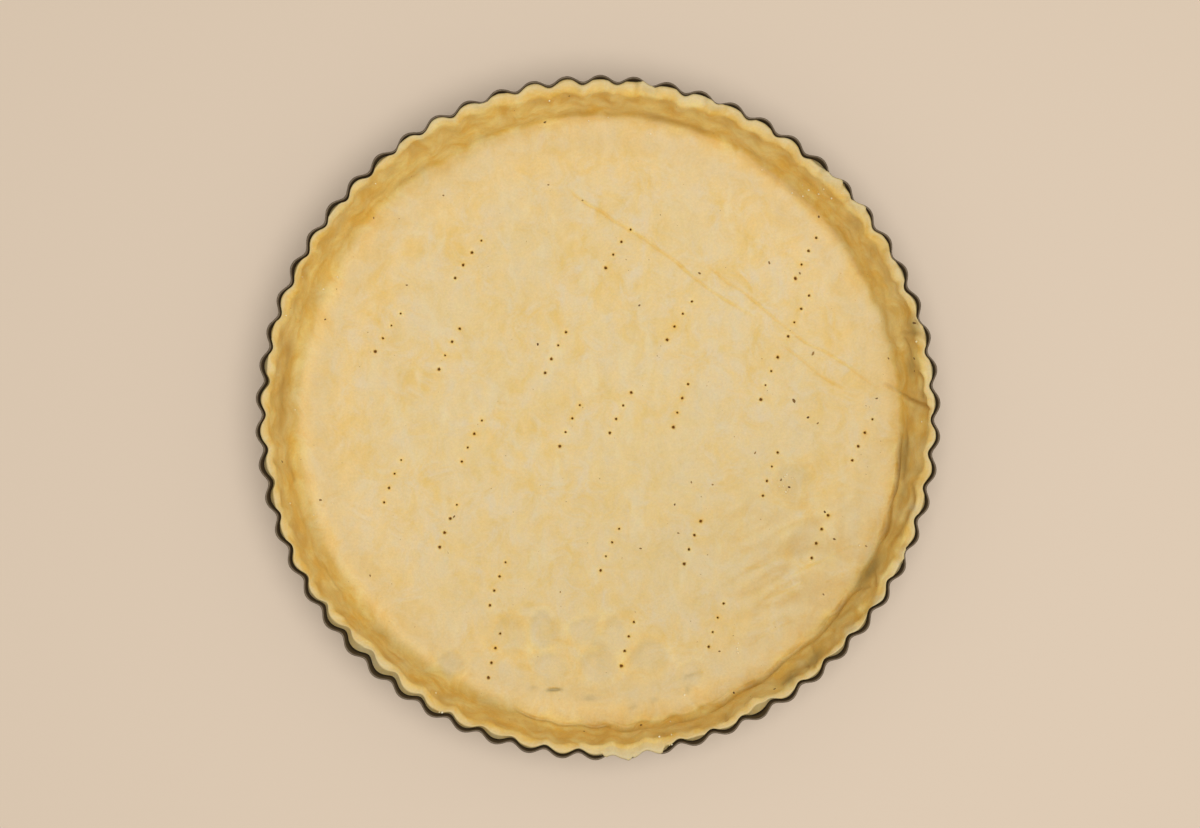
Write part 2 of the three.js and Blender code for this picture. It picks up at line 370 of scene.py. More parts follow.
def drawn_back(angle):
    flute = np.round(FLUTES * (angle - math.radians(FLUTE_BEARING_DEG)) / (2 * np.pi)) % FLUTES
    unfilled = CREST_DRAWN_BACK_MM * chance(flute) * np.maximum(0, flute_wave(angle))
    return np.maximum(0, LEAST_DRAWN_BACK_MM + unfilled + changes_at(angle, DRAWN_BACK))


def lap_share(angle):
    """From 0 where the edge stays inside the tin to 1 where it lies right over the rim."""
    share = np.zeros_like(angle)
    for bearing, half, most in LAPS_OVER:
        away = np.abs(turn_between(angle, bearing))
        share = np.maximum(share, most * (1 - smooth_step(away, half, half + LAP_SHOULDER_DEG)))
    return share


def from_line(x, y, line):
    """How far each point is from a bent line, and the share of the line's way at its nearest."""
    nearest = np.full(np.shape(x), 1e9)
    share = np.zeros(np.shape(x))
    lengths = [math.dist(start, end) for start, end in zip(line, line[1:])]
    done = 0
    for start, end, length in zip(line, line[1:], lengths):
        run_x, run_y = (end[0] - start[0]) / length, (end[1] - start[1]) / length
        along = np.clip((x - start[0]) * run_x + (y - start[1]) * run_y, 0, length)
        away = np.hypot(x - start[0] - along * run_x, y - start[1] - along * run_y)
        share = np.where(away < nearest, (done + along) / sum(lengths), share)
        nearest = np.minimum(away, nearest)
        done += length
    return nearest, share


# The floor was rolled and patted down, with dimples, creases and wrinkles of a few tenths of a mm.
# Each finger dimple: its place, radius and depth in mm.
DIMPLES = [
    (-37, -93, 8, 0.4),
    (-23, -91, 8, 0.55),
    (-5, -90, 7, 0.5),
    (-20, -105.5, 8, 0.6),
    (1, -105.5, 8, 0.5),
    (7.5, -93.5, 8, 0.4),
    (22, -102.5, 8, 0.5),
    (-62, -104.5, 6, 0.6),
    (84, -28, 9, 0.22),
    (90, -53, 10, 0.25),
    (40, -108.5, 5, 0.35),
]
# Creases where the rolled sheet was folded to carry it: depth and half width in mm, then its route.
CREASES = [
    (0.3, 0.55, [(-15, 98), (-7, 92), (2.5, 86.5), (8, 82), (21, 75), (33, 66), (39, 60.5),
                 (47, 54.5), (54, 50), (67, 42)]),
    (0.2, 0.5, [(76, 32), (87, 24), (95.5, 17), (106, 11)]),
    (0.28, 0.5, [(45.5, 65), (51, 60.5), (57, 55.7), (66.5, 49), (81, 37), (88, 31.5), (96.5, 28),
                 (103.5, 23.5), (112.5, 16.5), (121, 11)]),
    (0.1, 0.45, [(58, 62), (72, 50), (80, 44)]),
    (0.2, 0.5, [(80.5, -68), (91, -62), (98, -59.5), (106.5, -54.5), (114, -54)]),
    (0.16, 0.45, [(93.5, -76), (97.5, -73)]),
    (0.16, 0.45, [(86.5, -84.5), (89, -83.8)]),
    (0.16, 0.5, [(96, -70.5), (100, -68.3), (105, -66)]),
    (0.14, 0.5, [(70, -77), (80, -73.5), (88, -69)]),
    (0.12, 0.5, [(60, -64.5), (72, -62), (82, -56.5)]),
    (0.2, 0.45, [(39, -109), (42, -108.7), (44.6, -107.5)]),
    (0.12, 0.5, [(62, -98), (72, -91), (84, -86)]),
    (0.5, 0.5, [(-21, -115.6), (-18.6, -115.1), (-16, -115.4)]),
]
CREASE_BANK = 0.4  # the height of the low banks beside a crease, as a share of its depth
BANK_AWAY = 2.3  # their distance from the middle of the crease, in its half widths
CREASE_FADE = 0.12  # the share of a crease's length in which each of its ends fades out
CREASE_WAVER_MM = 0.5
# A crease's tone is painted shade in the hollow that the crease presses.
CREASE_SHADE_WIDTH = 1.15  # the width of a crease's tone, as a share of the width of its hollow
CREASE_SHADE_PER_MM = 3.2  # how strong the tone is for each mm of depth
CORNER_CUTS = 2


def eased(line):
    """The same route with its corners cut, since dough bends and doesn't kink."""
    for _ in range(CORNER_CUTS):
        eased_line = [line[0]]
        for start, end in zip(line, line[1:]):
            for share in (0.25, 0.75):
                eased_line.append((start[0] + (end[0] - start[0]) * share,
                                   start[1] + (end[1] - start[1]) * share))
        line = eased_line + [line[-1]]
    return line


def creasing(x, y, lines):
    """How far down the creases press the dough, and how strong their painted shade is at each
    point.
    """
    depth = np.zeros_like(x)
    strength = np.zeros_like(x)
    uneven = 0.85 + 0.4 * flat_lumps(x, y, 6, 33)
    waver_x = x + CREASE_WAVER_MM * flat_lumps(x, y, 7, 34)
    waver_y = y + CREASE_WAVER_MM * flat_lumps(x, y, 7, 35)
    for most, width, line in lines:
        away, share = from_line(waver_x, waver_y, eased(line))
        fade = smooth_step(share, -0.02, CREASE_FADE)
        fade = fade * (1 - smooth_step(share, 1 - CREASE_FADE, 1.02)) * uneven
        bank = CREASE_BANK * bell(away - BANK_AWAY * width, width)
        depth += most * fade * (bell(away, width) - bank)
        tone = bell(away, width * CREASE_SHADE_WIDTH) * min(most * CREASE_SHADE_PER_MM, 1)
        strength = np.maximum(strength, fade * tone)
    return depth, strength


# The wrinkled quarter, where the dough was pushed back towards the wall.
WRINKLED_MIDDLE_MM = (84, -68)
WRINKLED_REACH_MM = 32
WRINKLE_LEAN_DEG = 30
WRINKLE_SPACING_MM = 4.2
WRINKLE_LENGTH = 3.2  # in spacings
WRINKLE_BEND_MM = 2.6
WRINKLE_HEIGHT_MM = 0.75
WRINKLE_MEAN = 0.6


def wrinkles(x, y):
    """Ridges about 1 high over their mean level, fading out round the wrinkled quarter."""
    lean = math.radians(WRINKLE_LEAN_DEG)
    along = x * math.cos(lean) + y * math.sin(lean)
    across = -x * math.sin(lean) + y * math.cos(lean)
    across = across + WRINKLE_BEND_MM * flat_lumps(x, y, 17, 31)
    ridges = 2 * np.abs(flat_lumps(across, along / WRINKLE_LENGTH, WRINKLE_SPACING_MM, 32))
    near = bell(np.hypot(x - WRINKLED_MIDDLE_MM[0], y - WRINKLED_MIDDLE_MM[1]), WRINKLED_REACH_MM)
    return near * (ridges - WRINKLE_MEAN)


FLOOR_WAVES = 6
FLOOR_WAVE_MM = 0.09
FLOOR_WAVE_LENGTHS_MM = (32, 75)
FLOOR_LUMPS = [(0.1, 11, 1), (0.06, 4.5, 2)]  # height and size in mm, and a number for the draw
DIMPLE_FLAT = 0.35  # the share of a dimple's radius that is flat
DIMPLE_BANK = 0.25  # the height of the bank round it, as a share of its depth
DIMPLE_BANK_AT = 1.05  # the radius and half width of the bank, as shares of the dimple's radius
DIMPLE_BANK_WIDE = 0.22


def floor_relief(x, y):
    """How far the floor stands above its mean level."""
    height = np.zeros_like(x)
    shortest, longest = FLOOR_WAVE_LENGTHS_MM
    for wave in range(FLOOR_WAVES):
        bearing = 2 * np.pi * chance(40 + wave)
        length = shortest + (longest - shortest) * chance(50 + wave)
        across = x * np.cos(bearing) + y * np.sin(bearing)
        height += FLOOR_WAVE_MM * np.sin(2 * np.pi * (across / length + chance(60 + wave)))
    for most, size, seed in FLOOR_LUMPS:
        height += most * flat_lumps(x, y, size, seed)
    height += WRINKLE_HEIGHT_MM * wrinkles(x, y)
    height -= creasing(x, y, CREASES)[0]
    for middle_x, middle_y, radius, depth in DIMPLES:
        away = np.hypot(x - middle_x, y - middle_y)
        height -= depth * (1 - smooth_step(away, DIMPLE_FLAT * radius, radius))
        bank = bell(away - DIMPLE_BANK_AT * radius, DIMPLE_BANK_WIDE * radius)
        height += DIMPLE_BANK * depth * bank
    return height


# The fork's four tine tips, and where it went in: place in mm and lean in degrees of each row.
TINE_PITCH_MM = 6.45
INNER_TINE_OFFSET_MM = 0.4
PRICK_RADIUS_MM = 0.56
PRICK_DEPTH_MM = 2.3
FORK_MARKS = [
    (-89, 36, 34),
    (-63, 29, 27),
    (-55, 67, 35),
    (8.5, 71.5, 33),
    (-18, 27.5, 27),
    (34.5, 41, 33),
    (35, 5, 19),
    (9.5, 2, 28),
    (-12, -3.5, 26),
    (-53.5, -10, 26),
    (-87, -27, 22),
    (-63.5, -46, 22),
    (-42.5, -70.5, 20),
    (-44, -101, 15),
    (5, -56, 24),
    (12.5, -96, 16),
    (40, -53, 21),
    (50, -88, 19),
    (88, 67.5, 27),
    (85, 43, 27),
    (72.5, 16.5, 22),
    (73, -24, 19),
    (112, -9.5, 26),
    (94, -50.5, 21),
]
# A prick's section from its bottom out: share of its radius, share of its depth.
PRICK_SECTION = [(0.4, 1.0), (0.6, 0.8), (0.78, 0.42), (0.92, 0.16), (1.15, 0.05), (1.5, 0.015),
                 (2.0, 0.0)]
PRICK_POINTS = 10
END_TINE_LARGER = 0.16
PRICK_UNEVEN = 0.3

pricks = []
for row, (x, y, lean_deg) in enumerate(FORK_MARKS):
    lean = math.radians(lean_deg)
    for tine in range(4):
        spot = tine - 1.5
        along = spot * TINE_PITCH_MM
        aside = INNER_TINE_OFFSET_MM if abs(spot) < 1 else 0
        tip_x = x + along * math.sin(lean) - aside * math.cos(lean)
        tip_y = y + along * math.cos(lean) + aside * math.sin(lean)
        uneven = 0.7 + 0.45 * chance(300 + 4 * row + tine)
        size = PRICK_RADIUS_MM * (uneven + END_TINE_LARGER * (tine == 0))
        pricks.append((tip_x, tip_y, float(size)))


def flat_tree(spots):
    """A tree that finds the nearest of many spots, each with its number in the list."""
    tree = kdtree.KDTree(len(spots))
    for number, (x, y) in enumerate(spots):
        tree.insert((x, y, 0), number)
    tree.balance()
    return tree


# The floor's points: the join with the wall, rings in each prick, rows along each crease, and an
# even field of points over the rest.
JOIN_RADIUS_MM = 121.6
FLOOR_POINT_MM = 1.42
CREASE_STEP_MM = 0.9
CREASE_ROWS_MM = (-1.3, -0.8, -0.4, 0, 0.4, 0.8, 1.3)
CREASE_CLEAR_OF_PRICKS_MM = 1.6
CREASE_CLEAR_OF_JOIN_MM = 1.0
FIELD_CLEAR_OF_JOIN_MM = 0.75
FIELD_CLEAR_OF_DETAIL_MM = 0.62
GUARD_POINTS = 72
GUARD_RADIUS_MM = 1.1 * JOIN_RADIUS_MM
join_ring = np.stack([JOIN_RADIUS_MM * np.cos(turn), JOIN_RADIUS_MM * np.sin(turn)], 1)
# Each special point has its place, how far it is pressed down and its share in the painted shade of
# a hole.
special = []
special_drop = []
special_hole_shade = []
for number, (x, y, size) in enumerate(pricks):
    for layer, (out, down) in enumerate(PRICK_SECTION):
        for k in range(PRICK_POINTS):
            angle = 2 * np.pi * (k + 0.5 * (layer % 2)) / PRICK_POINTS
            uneven = 1 + PRICK_UNEVEN * (chance(500 + 13 * number + k) - 0.5)
            special.append((x + size * out * uneven * np.cos(angle),
                            y + size * out * uneven * np.sin(angle)))
            special_drop.append(down * PRICK_DEPTH_MM)
            special_hole_shade.append(float(smooth_step(down, 0.03, 0.7)))
    special.append((x, y))
    special_drop.append(PRICK_DEPTH_MM)
    special_hole_shade.append(1.0)
prick_tree = flat_tree([(x, y) for x, y, _ in pricks])
for _, _, line in CREASES:
    line = eased(line)
    for start, end in zip(line, line[1:]):
        run = np.subtract(end, start)
        length = float(np.hypot(*run))
        left = np.array([-run[1], run[0]]) / length
        steps = int(length / CREASE_STEP_MM) + 1
        for step in range(steps):
            for row_mm in CREASE_ROWS_MM:
                spot = np.array(start) + run * step / steps + left * row_mm
                _, _, to_prick = prick_tree.find((*spot, 0))
                inside_join = np.hypot(*spot) < JOIN_RADIUS_MM - CREASE_CLEAR_OF_JOIN_MM
                if inside_join and to_prick > CREASE_CLEAR_OF_PRICKS_MM:
                    special.append(tuple(spot))
                    special_drop.append(0.0)
                    special_hole_shade.append(0.0)
special = np.array(special, float)
taken = flat_tree(special)
field = []
row_step = FLOOR_POINT_MM * math.sqrt(3) / 2
row_count = int(JOIN_RADIUS_MM / row_step)
for row in range(-row_count, row_count + 1):
    y = row * row_step
    for column in range(-row_count, row_count + 1):
        x = (column + 0.5 * (row % 2)) * FLOOR_POINT_MM
        if math.hypot(x, y) < JOIN_RADIUS_MM - FIELD_CLEAR_OF_JOIN_MM:
            _, _, to_special = taken.find((x, y, 0))
            if to_special > FIELD_CLEAR_OF_DETAIL_MM:
                field.append((x, y))
field = np.array(field)
floor_xy = np.concatenate([join_ring, special, field])
floor_drop = np.concatenate([np.zeros(round_points), special_drop, np.zeros(len(field))])
floor_hole_shade = np.concatenate([np.zeros(round_points), special_hole_shade, np.zeros(len(field))])
# A ring of far points keeps the triangles between the join ring's points whole. It is then dropped.
guard_turn = np.arange(GUARD_POINTS) * 2 * np.pi / GUARD_POINTS
guard = GUARD_RADIUS_MM * np.stack([np.cos(guard_turn), np.sin(guard_turn)], 1)
ring_edges = [(k, (k + 1) % round_points) for k in range(round_points)]
_, _, all_faces, origins, _, _ = delaunay_2d_cdt(
    np.concatenate([floor_xy, guard]).tolist(), ring_edges, [], 0, 1e-6)
origin = np.array([o[0] for o in origins])
floor_triangles = origin[np.array(all_faces)]
floor_triangles = floor_triangles[np.max(floor_triangles, 1) < len(floor_xy)]
floor_z = floor_top + floor_relief(floor_xy[:, 0], floor_xy[:, 1]) - floor_drop
floor_points = np.column_stack([floor_xy, floor_z])

# The wall's section runs from the join ring through the corner, up, and over to the cut edge.
# How crisp the corner is. Each row: a bearing, the angles away from it where the corner is still
# wholly crisp and where it is easy again, and how crisp it gets. To the left it is easy.
CRISP_CORNERS = [(304, 46, 60, 1.0), (60, 72, 92, 0.8)]
crisp = np.zeros(round_points)
for bearing, crisp_to, easy_from, most in CRISP_CORNERS:
    away = np.abs(turn_between(turn, bearing))
    crisp = np.maximum(crisp, most * (1 - smooth_step(away, crisp_to, easy_from)))
corner = EASY_CORNER_MM + (CRISP_CORNER_MM - EASY_CORNER_MM) * crisp
inside_tin = tin_radius(turn, TIN_HEIGHT_MM) - RIM_EDGE_MM - SOLID_GAP_MM
back = drawn_back(turn)
# Where it laps over, the edge first rises to the rim's height and then crosses the steel.
over = lap_share(turn)
risen = smooth_step(over, 0, 0.5)
crossed = np.clip((over - 0.5) / 0.5, 0, 1)
rim_x = RIM_DIAMETER_MM / 2 * np.cos(turn)
rim_y = RIM_DIAMETER_MM / 2 * np.sin(turn)
ragged = flat_lumps(rim_x, rim_y, 2.3, 41)
back = back + CHIPPED_MM * np.maximum(0, flat_lumps(rim_x, rim_y, 4.5, 49))
edge_radius = inside_tin - (1 - crossed) * (back - (SOLID_GAP_MM - GAP_MM))
outer_radius = edge_radius + crossed * (SOLID_GAP_MM + RIM_EDGE_MM + LAP_REACH_MM)
outer_radius += RAGGED_MM * ragged * (crossed > 0.99)
outer_radius -= EDGE_NIBBLED_MM * np.abs(ragged)
edge_top = TIN_HEIGHT_MM - TRIM_BELOW_RIM_MM + TRIM_WAVER_MM * uneven_round(turn, 10)
edge_top = edge_top - SLUMP * back
lap_top = TIN_HEIGHT_MM + LAP_ABOVE_RIM_MM + LAP_MM + LAP_LUMP_MM * crossed * (1 + ragged) / 2
edge_top = edge_top + risen * (lap_top - edge_top)
edge_foot = edge_top - CUT_EDGE_DEPTH_MM + risen * (CUT_EDGE_DEPTH_MM - LAP_MM)
EDGE_UNEVEN = [(0.9, 8, 42), (0.5, 3, 47)]  # height and size in mm, and a number for the draw
PRINT_UNEVEN = 0.9
edge_width = CUT_EDGE_MM + changes_at(turn, CUT_EDGE_CHANGES)
for most, size, seed in EDGE_UNEVEN:
    edge_width += most * flat_lumps(rim_x, rim_y, size, seed)
print_depth = FLUTE_PRINT * (1 + PRINT_UNEVEN * flat_lumps(rim_x, rim_y, 15, 43))
hidden = (1 - print_depth) * FLUTE_DEPTH_MM / 2 * flute_wave(turn)
top_radius = inside_tin - back - edge_width - hidden
top_height = np.minimum(edge_top, TIN_HEIGHT_MM) - CUT_EDGE_FALL_MM
LEAST_WALL_MM = 1.0
CRISP_FOOT_MM = 0.5
FOOT_PRINT_MM = 0.35
FOOT_UNEVEN_MM = 0.5
foot_radius = WALL_FOOT_MM + CRISP_FOOT_MM * crisp + FOOT_PRINT_MM * flute_wave(turn)
foot_radius += changes_at(turn, FOOT_CHANGES) + FOOT_UNEVEN_MM * flat_lumps(rim_x, rim_y, 8, 44)
foot_radius = np.minimum(foot_radius, room_in_tin(BASE_CORNER_MM) - LEAST_WALL_MM)
wall_run = np.hypot(top_radius - foot_radius, top_height - floor_top)
lean_out = (top_radius - foot_radius) / wall_run
lean_up = (top_height - floor_top) / wall_run

FLAT_RINGS = 4
BEND_RINGS = 10
RISE_RINGS = 24
EDGE_RINGS = 10
CORNER_UP = 0.12  # the share of the wall's height at which the corner ends
EDGE_CROWDING = 0.85
DULLED_SHARE = 0.2  # the outer share of the cut edge that is dulled
DULLED_MM = 0.4
# Ring by ring: the flat floor, the bend of the corner, the rise of the wall and the cut edge.
section_radius = []
section_height = []
section_up = []
for k in range(FLAT_RINGS + 1):
    share = k / FLAT_RINGS
    section_radius.append(JOIN_RADIUS_MM + (foot_radius - corner - JOIN_RADIUS_MM) * share)
    section_height.append(np.full(round_points, floor_top))
    section_up.append(0)
for k in range(1, BEND_RINGS + 1):
    share = k / BEND_RINGS
    section_radius.append(foot_radius - corner * (1 - share) ** 2 + corner * lean_out * share**2)
    section_height.append(floor_top + corner * lean_up * share**2)
    section_up.append(CORNER_UP * share)
for k in range(1, RISE_RINGS + 1):
    along = corner + (wall_run - corner) * k / RISE_RINGS
    section_radius.append(foot_radius + lean_out * along)
    section_height.append(floor_top + lean_up * along)
    section_up.append(CORNER_UP + (1 - CORNER_UP) * k / RISE_RINGS)
for k in range(1, EDGE_RINGS + 1):
    across = (k / EDGE_RINGS) ** EDGE_CROWDING
    roll = 1 - (1 - across) ** 2
    dulled = DULLED_MM * max(0, across - (1 - DULLED_SHARE)) / DULLED_SHARE
    section_radius.append(top_radius + (outer_radius - top_radius) * across)
    section_height.append(top_height + (edge_top - top_height) * roll - dulled)
    section_up.append(1 + across)
section_radius = np.array(section_radius)
section_height = np.array(section_height)
section_up = np.array(section_up)[:, None]
# The direction out of the dough, square to the section.
run_out = np.gradient(section_radius, axis=0)
run_up = np.gradient(section_height, axis=0)
run_out[:FLAT_RINGS] = 1
run_up[:FLAT_RINGS] = 0
run_length = np.hypot(run_out, run_up)
proud_out = -run_up / run_length
proud_up = run_out / run_length
section_x = section_radius * np.cos(turn)
section_y = section_radius * np.sin(turn)
CAMERA_ABOVE_TABLE_MM = TIN_HEIGHT_MM + LENS_ABOVE_RIM_MM


def seen_from_above(x, y, z):
    """Where the camera sees a point, as a place in mm at the floor's level."""
    spread = (CAMERA_ABOVE_TABLE_MM - floor_top) / (CAMERA_ABOVE_TABLE_MM - z)
    return x * spread, y * spread


# Folds in the wall, each with its depth and half width in mm and its route as seen from above.
FOLDS = [
    (1.0, 0.9, [(127.8, -5), (128, -9.5), (127.5, -22), (126, -30.5), (123, -43.5), (119.5, -53),
                 (117.5, -60.5)]),
    (1.1, 0.9, [(110.5, -64), (110.5, -70), (106, -76), (100.5, -84), (98, -87.5), (92, -93.5),
                (83.5, -98.5), (77.5, -104.5), (69.5, -111), (61, -115), (57.5, -117), (51.5, -122),
                (43.5, -125.5)]),
    (0.8, 0.7, [(43.5, -125.5), (39.5, -128), (33, -129), (27.5, -131), (17.5, -131), (12, -133),
                (4, -130.3), (-0.5, -131.4)]),
    (0.8, 0.55, [(4, -130.3), (-0.7, -131.4), (-8.5, -130), (-15.5, -130), (-20, -127.7),
                 (-26.5, -128), (-37, -122)]),
    (0.6, 0.6, [(120, 14.5), (123, 13.8), (130, 8.9), (135.5, 5.9), (139, 4.4), (142, 3.2)]),
    (0.6, 0.7, [(133.7, 41), (135.1, 38.8)]),
    (0.6, 0.7, [(127, 35.4), (131.7, 35.8), (136, 35), (139.5, 33.5)]),
    (0.5, 0.5, [(128.5, 34.5), (130.5, 30.5), (132.7, 25.9), (134.4, 20.3)]),
    (0.7, 0.6, [(134.4, 20.3), (137.4, 17.2), (136.8, 12.5), (136, 7)]),
    (0.5, 0.7, [(131.3, -3), (131.3, -9.5), (130.6, -19.7), (129.8, -27.7)]),
    (0.7, 0.7, [(133.3, -26.5), (134.4, -35.2), (131.3, -39.8), (129.8, -44.7), (126.8, -50.2),
                (123.8, -57.4)]),
    (0.5, 0.6, [(108.8, -73.5), (111.8, -72.4), (115.2, -71.4)]),
    (0.6, 0.7, [(116.5, -62.5), (117, -69), (118, -72)]),
    (0.7, 0.7, [(90.5, -95.5), (92.2, -101.9), (91.1, -106.5)]),
    (0.4, 0.6, [(86.8, -103), (89.5, -105.3)]),
    (0.6, 0.7, [(77.8, -113.3), (82.8, -109), (85.5, -106.5)]),
    (0.5, 0.7, [(53, -124.5), (54.5, -129)]),
    (0.3, 1.8, [(-130, 34), (-131.5, 22), (-133, 12), (-134, 2), (-134, -9)]),
    (0.25, 0.6, [(-131, -14), (-130.5, -20), (-128, -28)]),
    (0.25, 1.4, [(-20, 127), (0, 128.5), (20, 127.5), (38, 123), (52, 118)]),
    (0.25, 1.4, [(64, 109), (80, 98.5), (94, 86), (106, 71), (116, 54)]),
]
# Where the wall is crumpled: the middle's bearing and the half width in degrees.
CRUMPLED = (345, 52)
CRUMPLE_FADE_DEG = 15
CRUMPLE_LEAN_DEG = 38
CRUMPLE_MM = 0.9
CRUMPLE_SPACING_MM = 5
CRUMPLE_LENGTH = 3  # in spacings
SHARP_CRUMPLE_MM = 0.55
SHARP_SPACING_MM = 8
SHARP_LENGTH = 2.5
SHARP_MEAN = 0.6
# The wall's lumps: height in mm, how squat they are (1 is as wide as tall), size in mm and a
# number for the draw.
WALL_LUMPS = [(0.75, 0.6, 13, 5), (0.42, 1, 5, 6), (0.13, 1, 2.2, 7)]
EDGE_LUMPS_MM = 0.1
THUMB_DENT_MM = 0.8
THUMB_DENT_UP = 0.78  # the share of the wall's height at which the thumb pressed
THUMB_DENT_TALL = 0.24
seen_x, seen_y = seen_from_above(section_x, section_y, section_height)
fold_depth, fold_strength = creasing(seen_x, seen_y, FOLDS)
on_wall = smooth_step(section_up, 0, 0.3)
off_edge = 1 - smooth_step(section_up, 0.85, 1.2)
lumps = np.zeros_like(section_x)
for most, squat, size, seed in WALL_LUMPS:
    lumps += most * lumpiness(section_x, section_y, section_height * squat, size, seed)
dents = np.maximum(0, flute_wave(turn)) * (0.6 + 0.6 * flat_lumps(rim_x, rim_y, 11, 45))
dents = dents * bell(section_up - THUMB_DENT_UP, THUMB_DENT_TALL)
lumps -= THUMB_DENT_MM * dents
from_crumpled = turn_between(turn, CRUMPLED[0])
crumple_share = 1 - smooth_step(np.abs(from_crumpled), CRUMPLED[1] - CRUMPLE_FADE_DEG, CRUMPLED[1])
crumple_lean = math.radians(CRUMPLE_LEAN_DEG)
arc = np.radians(from_crumpled) * section_radius
crumple_along = arc * math.cos(crumple_lean) + section_height * math.sin(crumple_lean)
crumple_across = -arc * math.sin(crumple_lean) + section_height * math.cos(crumple_lean)
ridges = flat_lumps(crumple_across, crumple_along / CRUMPLE_LENGTH, CRUMPLE_SPACING_MM, 46)
sharp = np.abs(flat_lumps(crumple_across, crumple_along / SHARP_LENGTH, SHARP_SPACING_MM, 48))
crumple = CRUMPLE_MM * ridges + SHARP_CRUMPLE_MM * (SHARP_MEAN - 2 * sharp)
lumps += crumple_share * crumple
lumps -= changes_at(turn, PLEATS) * (1 - section_up)
proud = lumps * on_wall * off_edge - fold_depth
proud += floor_relief(section_x, section_y) * (1 - on_wall)
proud += (section_up > 1) * EDGE_LUMPS_MM * flat_lumps(section_x, section_y, 3.5, 8)
proud[-1] = np.minimum(proud[-1], 0)
section_radius = section_radius + proud * proud_out
section_height = section_height + proud * proud_up

shell_rings = [around(radius, z) for radius, z in zip(section_radius, section_height)]
shell_up = np.repeat(section_up[:, 0], round_points).tolist()
# The dough's outer face, from just under the lip of the cut down to the foot of the edge.
LIP_MM = 0.05
lip_z = section_height[-1] - LIP_MM
for share in (0.6, 1.0):
    radius = outer_radius + (edge_radius - outer_radius) * share
    shell_rings.append(around(radius, lip_z + (edge_foot - lip_z) * share))
# Below the edge it bulges back against the tin, so the gap that shows is only a few mm deep.
OUTSIDE_RINGS = 5
BULGE_BELOW_EDGE_MM = 0.7
FIRST_BULGE = 0.8  # the share of the way back to the tin at the first ring
BULGE_FOOT_MM = BASE_CORNER_MM + 0.8
bulge_top = edge_foot - BULGE_BELOW_EDGE_MM
for k in range(OUTSIDE_RINGS):
    z = bulge_top + (BULGE_FOOT_MM - bulge_top) * (k / (OUTSIDE_RINGS - 1)) ** 2
    room = room_in_tin(z)
    bulge = FIRST_BULGE if k == 0 else 1
    shell_rings.append(around(np.minimum(edge_radius + bulge * (room - edge_radius), room), z))
CORNER_INSET_MM = 0.5
CORNER_HEIGHT_MM = 2.7
UNDERSIDE_INSET_MM = 1.6
shell_rings.append(around(room_in_tin(BASE_CORNER_MM) - CORNER_INSET_MM, CORNER_HEIGHT_MM))
shell_rings.append(around(flat_radius - UNDERSIDE_INSET_MM, underside))
shell_points = np.concatenate(shell_rings)
shell_up = np.array(shell_up + [2.0] * (len(shell_points) - len(shell_up)))
shell_faces = ring_faces(len(shell_rings), round_points)[:, ::-1]
loose_floor = floor_points[round_points:]
shift = len(shell_points) - round_points
moved = np.where(floor_triangles < round_points, floor_triangles, floor_triangles + shift)
dough_points = np.concatenate([shell_points, loose_floor])
last_ring = range(len(shell_points) - round_points, len(shell_points))
dough_faces = shell_faces.tolist() + moved.tolist() + [list(last_ring)[::-1]]

# Raw shortcrust is matt and a little waxy from its butter, and light goes a millimetre into it.
# Where it was worked or stretched the butter shows golden, and where it is thin the tin shows grey.
# Painted light is mixed in too: golden bounce light up the wall, and painted shade in brown, grey
# and golden in the folds, creases, corners and holes.
shortcrust, dough_shader = new_material("raw_shortcrust")
BUTTER_PATCH_MM = 11
ROLLED_STREAK_MM = 5
FLOUR_BLOOM_MM = 26
FLOUR_SMEAR_MM = 8
GRAIN_MM = 0.9
place = add_node(shortcrust, "ShaderNodeTexCoord").outputs["Object"]
patch = add_node(shortcrust, "ShaderNodeTexNoise", {"Vector": place},
                 {"Scale": 1000 / BUTTER_PATCH_MM, "Detail": 5.0, "Roughness": 0.66,
                  "Distortion": 0.7})
rolled = add_node(shortcrust, "ShaderNodeMapping", {"Vector": place},
                  {"Rotation": (0, 0, math.radians(-35)), "Scale": (1.0, 0.45, 1.0)})
streak = add_node(shortcrust, "ShaderNodeTexNoise", {"Vector": rolled.outputs[0]},
                  {"Scale": 1000 / ROLLED_STREAK_MM, "Detail": 5.0, "Roughness": 0.6})
bloom = add_node(shortcrust, "ShaderNodeTexNoise", {"Vector": place},
                 {"Scale": 1000 / FLOUR_BLOOM_MM, "Detail": 3.0, "Roughness": 0.5})
grain = add_node(shortcrust, "ShaderNodeTexNoise", {"Vector": place},
                 {"Scale": 1000 / GRAIN_MM, "Detail": 3.0, "Roughness": 0.6})
smear = add_node(shortcrust, "ShaderNodeTexNoise", {"Vector": rolled.outputs[0]},
                 {"Scale": 1000 / FLOUR_SMEAR_MM, "Detail": 2.0, "Roughness": 0.5})
patch_share = add_node(shortcrust, "ShaderNodeMapRange", {"Value": patch.outputs["Fac"]},
                       {"From Min": 0.37, "From Max": 0.63})
streak_share = add_node(shortcrust, "ShaderNodeMapRange", {"Value": streak.outputs["Fac"]},
                        {"From Min": 0.36, "From Max": 0.7, "To Max": 0.75})
bloom_share = add_node(shortcrust, "ShaderNodeMapRange", {"Value": bloom.outputs["Fac"]},
                       {"From Min": 0.42, "From Max": 0.68, "To Max": 0.5})
smear_share = add_node(shortcrust, "ShaderNodeMapRange", {"Value": smear.outputs["Fac"]},
                       {"From Min": 0.58, "From Max": 0.72, "To Max": 0.55})
tone = add_node(shortcrust, "ShaderNodeMix", {0: patch_share.outputs[0]},
                {6: linear("#e8d4aa"), 7: linear("#e6c268")}, data_type="RGBA")
